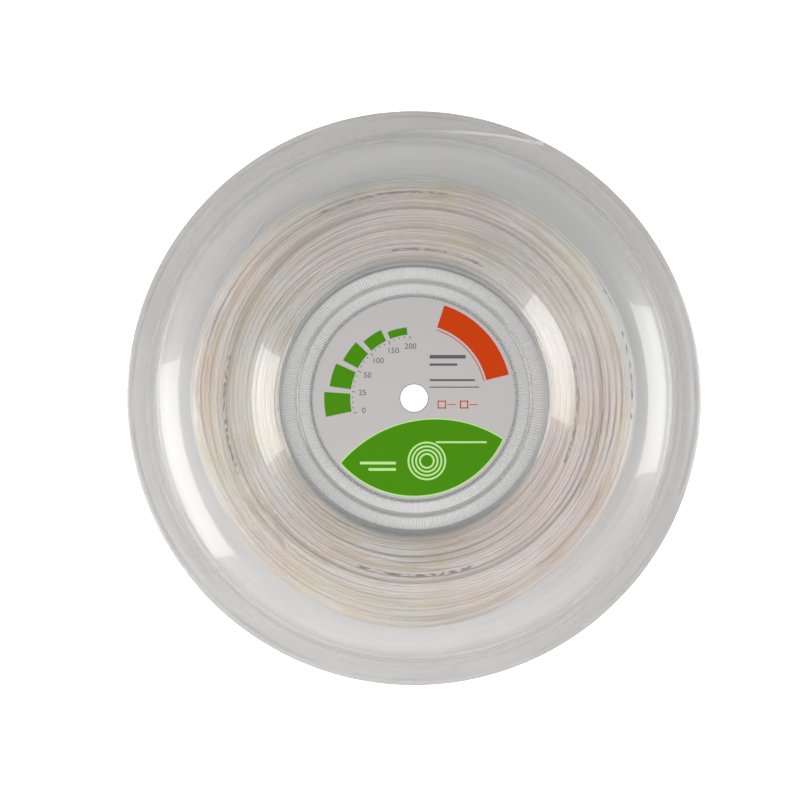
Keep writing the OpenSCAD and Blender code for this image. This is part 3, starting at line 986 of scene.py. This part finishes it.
def set_on_label(bm, films):
    """Gives a flat print its thickness, closed all round, and sets it on the label's face."""
    lifted = bmesh.ops.extrude_face_region(bm, geom=bm.faces[:], use_keep_orig=True)["geom"]
    bmesh.ops.translate(bm, vec=(0, 0, INK_T * films), verts=only_verts(lifted))
    bmesh.ops.recalc_face_normals(bm, faces=bm.faces)
    bmesh.ops.translate(bm, vec=(0, 0, LABEL_TOP - INK_T / 4), verts=bm.verts)


class REEL_OT_label(bpy.types.Operator):
    """Print the hub label: paper, a green field, an orange band, a length gauge and grey rules"""

    bl_idname = "reel.label"
    bl_label = "Hub label"

    def execute(self, context):
        settings = context.scene.reel_label
        refinish("front_label", label_paper(settings))
        inks = {"green": printing_ink("Green ink", settings.green),
                "orange": printing_ink("Orange ink", settings.orange),
                "pale": printing_ink("Pale green ink", settings.pale),
                "grey": printing_ink("Grey ink", settings.grey)}
        for name, (draw, ink, films) in PRINTS.items():
            bm = bmesh.new()
            draw(bm)
            set_on_label(bm, films)
            dress(finish_mesh(bm, name, inks[ink]), "label")
        return {"FINISHED"}


def turned_from(angle, where):
    """How far an angle lies from another, from minus half a turn to half a turn."""
    return (angle - where + math.pi) % (2 * math.pi) - math.pi


def run_lengths(path):
    """Lengths of a path's steps."""
    return np.linalg.norm(np.diff(path, axis=0), axis=1)


def pack_outline(depth, lay):
    """Middle of the string round the pack's section at a depth: (radius, height) and length along it."""
    slope_r = SLOPE_R - lay - depth
    drum = TOE_R + DRUM_GAP + depth
    top = HALF_H - lay - depth
    crown = CROWN_R - depth
    corner = max(SHOULDER_R - depth, LEAST_SHOULDER_R)
    half = [(crown, z) for z in np.linspace(0, top - corner, 8)]
    half += [(crown - corner + corner * math.cos(a), top - corner + corner * math.sin(a))
             for a in np.linspace(0, math.pi / 2, 9)[1:]]
    half += [(r, top) for r in np.linspace(crown - corner, CREST_IN_R, 4)[1:]]
    end = math.asin((CREST_IN_R - drum) / slope_r)
    half += [(CREST_IN_R - slope_r * math.sin(a), HALF_H - SLOPE_R + slope_r * math.cos(a))
             for a in np.linspace(0, end, 16)[1:]]
    half += [(drum, z) for z in np.linspace(half[-1][1], 0, 6)[1:]]
    points = np.array(half + [(r, -z) for r, z in half[-2::-1]])
    return points, np.concatenate([[0], np.cumsum(run_lengths(points))])


def outline_at(outline, along):
    """Radius and height at lengths along a section's outline."""
    points, length = outline
    return np.interp(along, length, points[:, 0]), np.interp(along, length, points[:, 1])


def drift(turns, rng, waves):
    """A smooth seeded wander along the string: the sum of waves, each with a quicker one beside it."""
    total = np.zeros_like(turns)
    for cycles, share in waves:
        for factor in (1.0, 1.37):
            total += share * np.sin(2 * math.pi * (cycles * factor * turns + rng.random())) * 0.6
    return total


def sway(share, angle, above):
    """How neighbouring turns of a layer shift together, over section share and angle."""
    total = np.zeros_like(share)
    for waves, turns, phase, part in SWAYS:
        total += part * np.sin(2 * math.pi * waves * share + turns * angle + phase + 1.7 * above)
    return total * (0.35 + 0.65 * np.cos(angle) ** 2)


def furrow_depth(r, angle):
    """Depth of the long furrows that run round the pack's faces."""
    depth = np.zeros_like(r)
    for middle, swing, phase, width, most in FURROWS:
        off = (r - middle - swing * np.sin(angle + phase)) / width
        strength = 0.55 + 0.45 * np.sin(2 * angle + 3 * phase)
        depth += most * strength * np.exp(-off ** 2)
    return depth


def edge_swell(r, angle):
    """How far the pack's outer edge swells out of round."""
    swell = sum(height * np.sin(count * angle + phase) for count, height, phase in SWELL_WAVES)
    for where, height, spread in SWELL_HUMPS:
        swell = swell + height * np.exp(-turned_from(angle, where) ** 2 / spread)
    return swell * np.clip((r - SWELL_R) / SWELL_RUN, 0, 1)


def loosen(t, angle, r, on_face):
    """Shift and lift of the few turns that lie loose across their neighbours."""
    shift, lift = np.zeros_like(t), np.zeros_like(t)
    for middle, where, half, reach in LOOSE:
        off = turned_from(angle, math.radians(where))
        near = np.abs(off) < math.radians(half) * 0.02 + 0.04
        close = np.where(near & on_face, np.abs(r - middle), 1.0)
        span = (t - t[np.argmin(close)]) * 360 / half
        bump = np.where(np.abs(span) < 1, (1 + np.cos(math.pi * span)) / 2, 0)
        shift += reach * bump
        lift += bump
    return shift, np.clip(lift, 0, 1)


def layer_path(settings, rng, outline, count, above, done, total):
    """One layer of turns: an even run round the section, which sways, strays, sinks and swells."""
    steps = SKIN_STEPS if above < SKIN_LAYERS else INNER_STEPS
    t = np.linspace(0, count, count * steps + 1)
    turns = t + done
    angle = LEAVE_ANGLE + 2 * math.pi * (total - turns)
    ease = np.clip(np.minimum(t, count - t) / EASE_TURNS, 0, 1)
    share, whole = t / count, outline[1][-1]
    r, z = outline_at(outline, share * whole)
    shift, lift = (0 * t, 0 * t) if above else loosen(t, angle, r, z > 0)
    along = share * whole + shift + ease * (
        settings.wander * sway(share, angle, above)
        + settings.stray * drift(turns, rng, STRAY_WAVES))
    r, z = outline_at(outline, along / whole % 1 * whole)
    sink = np.clip(SINK * (1 + drift(turns, rng, SINK_WAVES)), 0, None)
    sink = ease * (1 - lift) * (sink + furrow_depth(r, angle) + LEAST_SINK)
    outwards = np.stack([r - PACK_MID_R, z], axis=1)
    outwards /= np.linalg.norm(outwards, axis=1)[:, None]
    r = r - outwards[:, 0] * sink
    z = z - outwards[:, 1] * sink
    r = r + ease * edge_swell(r, angle)
    return np.stack([r * np.cos(angle), r * np.sin(angle), z + MID_Z], axis=1)


def winding(settings, lay):
    """The wound string, layer by layer from the drum to the skin: its paths and their turns."""
    rng = random.Random(settings.seed)
    outlines = [pack_outline(i * settings.layer_step, lay) for i in range(settings.layers)][::-1]
    counts = [max(1, round(length[-1] / settings.pitch)) for _, length in outlines]
    paths = [layer_path(settings, rng, outline, count, settings.layers - 1 - i, sum(counts[:i]),
                        sum(counts))
             for i, (outline, count) in enumerate(zip(outlines, counts))]
    return paths, counts


def tube(name, path, diameter, resolution, material):
    """A round tube along a path, made by a bevelled curve and turned into a mesh with a UV map."""
    curve = bpy.data.curves.new(name + "_path", "CURVE")
    curve.dimensions = "3D"
    curve.bevel_depth = diameter / 2
    curve.bevel_resolution = resolution
    curve.use_fill_caps = True
    spline = curve.splines.new("POLY")
    spline.points.add(len(path) - 1)
    spline.points.foreach_set("co", np.c_[path, np.ones(len(path))].ravel())
    mesh = mesh_from_curve(curve)
    mesh.name = name
    mesh.materials.clear()
    mesh.shade_smooth()
    return link_piece(name, mesh, [material])


class REEL_OT_string(bpy.types.Operator):
    """Wind the string: inner layers, then the two layers of the skin"""

    bl_idname = "reel.string"
    bl_label = "Wound string"

    def execute(self, context):
        settings = context.scene.reel_string
        lay = context.scene.reel_shell.sheet + settings.diameter / 2 + SLACK
        paths, counts = winding(settings, lay)
        inner = np.concatenate(paths[:-SKIN_LAYERS])
        outer = np.concatenate(paths[-SKIN_LAYERS:])
        length = run_lengths(inner).sum() + run_lengths(outer).sum()
        print(f"string: {sum(counts)} turns, {length:.1f} m")
        skin_turns = sum(counts[-SKIN_LAYERS:])
        inside = string_nylon("String nylon, inside", settings.colour, sum(counts) - skin_turns)
        skin = string_nylon("String nylon, skin", settings.colour, skin_turns,
                            below=counts[-SKIN_LAYERS] / skin_turns)
        dress(tube("string_inner_layers", inner, settings.diameter, 1, inside),
              "string", "string_core")
        dress(tube("string_outer_layers", outer, settings.diameter, 2, skin),
              "string", "string_turns")
        return {"FINISHED"}


def smooth_path(knots, steps):
    """A smooth curve through knots, led straight on past its ends, with steps from knot to knot."""
    points = [2 * knots[0] - knots[1]] + knots + [2 * knots[-1] - knots[-2]]
    path = []
    for a, b, c, d in zip(points, points[1:], points[2:], points[3:]):
        for t in np.linspace(0, 1, steps, endpoint=False):
            path.append(b + (c - a) * t / 2 + (2 * a - 5 * b + 4 * c - d) * t * t / 2
                        + (3 * b - a - 3 * c + d) * t ** 3 / 2)
    return path + [knots[-1]]


class REEL_OT_free_end(bpy.types.Operator):
    """Lead the string's free end out between the two lips"""

    bl_idname = "reel.free_end"
    bl_label = "Free end"

    def execute(self, context):
        settings = context.scene.reel_string
        material = string_nylon("String nylon, single strand", SINGLE_STRAND, 0.3, 0.1)
        knots = []
        for angle, share, depth in TAIL:
            r = PACK_R + share * (REEL_R - PACK_R)
            a = math.radians(angle)
            knots.append(Vector((r * math.cos(a), r * math.sin(a), depth * TAIL_Z)))
        path = np.array([(p.x, p.y, p.z + MID_Z) for p in smooth_path(knots, 6)])
        piece = dress(tube("string_free_end", path, settings.diameter, 4, material),
                      "string", "string_tail")
        return {"FINISHED"}


def soft_box(name, towards, zenith, distance, size, radiance):
    """A rectangular light that faces the reel from a direction, given its brightness."""
    a = math.radians(zenith)
    way = Vector((*towards, 0)).normalized() * math.sin(a)
    way.z = math.cos(a)
    data = bpy.data.lights.new(name, "AREA")
    data.shape = "RECTANGLE"
    data.size, data.size_y = size
    data.energy = radiance * math.pi * size[0] * size[1]
    light = bpy.data.objects.new(name, data)
    light.location = way * distance + Vector((0, 0, MID_Z))
    light.rotation_mode = "QUATERNION"
    light.rotation_quaternion = way.to_track_quat("Z", "Y")
    light.visible_camera = False
    bpy.context.scene.collection.objects.link(light)
    return light


def standing_box(name, towards, width, low, high, radiance):
    """A tall light that stands beside the reel and leans a little back."""
    light = soft_box(name, towards, 90 - BOX_LEAN, BOX_DISTANCE, (width, high - low), radiance)
    light.location = Vector((*towards, 0)).normalized() * BOX_DISTANCE
    light.location.z = MID_Z + (low + high) / 2


def light_reel(settings):
    """Sets up the two standing boxes, the low glow on both sides and a fill that only matt surfaces see."""
    for name, (towards, width, low, high, share) in BOXES.items():
        standing_box(name, towards, width, low, high, share * settings.box_radiance)
    for name, side in (("left_glow", -1.0), ("right_glow", 1.0)):
        soft_box(name, (side, 0.0), GLOW_ZENITH, GLOW_DISTANCE, GLOW_SIZE, settings.glow)
    near = soft_box("near_fill", NEAR_WAY, NEAR_ZENITH, NEAR_DISTANCE, NEAR_SIZE, NEAR_RADIANCE)
    near.visible_glossy = near.visible_transmission = False


def surroundings(fill):
    """Even white light from all round, brighter from the left and the near side, and white to the camera."""
    world = bpy.data.worlds.new("Studio surroundings")
    world.use_nodes = True
    tree = world.node_tree
    back = tree.nodes["Background"]
    back.inputs["Color"].default_value = (1, 1, 1, 1)
    axes = split(tree, add(tree, "ShaderNodeTexCoord").outputs["Generated"])
    lean = maths(tree, "MULTIPLY_ADD", axes["X"], FILL_TURN, axes["Y"])
    slope = ramp(tree, lean, -1.0, 1.0, (1 + FILL_SPREAD) * fill, (1 - FILL_SPREAD) * fill)
    path = add(tree, "ShaderNodeLightPath")
    level = add(tree, "ShaderNodeMix", {"Factor": path.outputs["Is Camera Ray"], "A": slope,
                                        "B": 1.0})
    tree.links.new(level.outputs["Result"], back.inputs["Strength"])
    return world


def camera_above(settings):
    """A camera that looks straight down on the reel."""
    data = bpy.data.cameras.new("camera")
    data.lens = settings.lens
    data.clip_start, data.clip_end = 0.01, 50
    camera = bpy.data.objects.new("camera", data)
    distance = settings.frame_width * data.lens / data.sensor_width
    camera.location = (*VIEW_CENTRE, MID_Z + distance)
    bpy.context.scene.collection.objects.link(camera)
    return camera


class REEL_OT_stage(bpy.types.Operator):
    """Set up the floor, the lights, the surroundings and the camera"""

    bl_idname = "reel.stage"
    bl_label = "Stage"

    def execute(self, context):
        settings = context.scene.reel_stage
        scene = context.scene
        scene.view_settings.view_transform = "Standard"
        scene.cycles.caustics_refractive = False
        scene.cycles.caustics_reflective = False
        scene.cycles.sample_clamp_indirect = 1.5
        floor = bmesh.new()
        bmesh.ops.create_grid(floor, x_segments=1, y_segments=1, size=FLOOR_SIZE)
        finish_mesh(floor, "studio_floor", pale_floor())
        light_reel(settings)
        scene.world = surroundings(settings.fill)
        scene.camera = camera_above(settings)
        return {"FINISHED"}


class REEL_PT_panel(bpy.types.Panel):
    """Lists the reel's steps in the sidebar"""

    bl_idname = "REEL_PT_panel"
    bl_label = "String Reel"
    bl_space_type = "VIEW_3D"
    bl_region_type = "UI"
    bl_category = "Reel"

    def draw(self, context):
        for group in SETTINGS:
            settings = getattr(context.scene, group)
            column = self.layout.column(align=True)
            for key in settings.__annotations__:
                column.prop(settings, key)
        for operator in OPERATORS:
            self.layout.operator(operator.bl_idname)


SETTINGS = {"reel_shell": ReelShellSettings, "reel_string": ReelStringSettings,
            "reel_label": ReelLabelSettings, "reel_stage": ReelStageSettings}
OPERATORS = (REEL_OT_stage, REEL_OT_shells, REEL_OT_bond, REEL_OT_label, REEL_OT_string,
             REEL_OT_free_end)


def register():
    for cls in (*SETTINGS.values(), *OPERATORS, REEL_PT_panel):
        bpy.utils.register_class(cls)
    for name, cls in SETTINGS.items():
        setattr(bpy.types.Scene, name, PointerProperty(type=cls))


def unregister():
    for name in SETTINGS:
        delattr(bpy.types.Scene, name)
    for cls in (REEL_PT_panel, *OPERATORS[::-1], *list(SETTINGS.values())[::-1]):
        bpy.utils.unregister_class(cls)


def main():
    """Builds the stage and every piece in order."""
    register()
    bpy.ops.reel.stage()
    bpy.ops.reel.shells()
    bpy.ops.reel.bond()
    bpy.ops.reel.label()
    bpy.ops.reel.string()
    bpy.ops.reel.free_end()


if __name__ == "__main__":
    main()
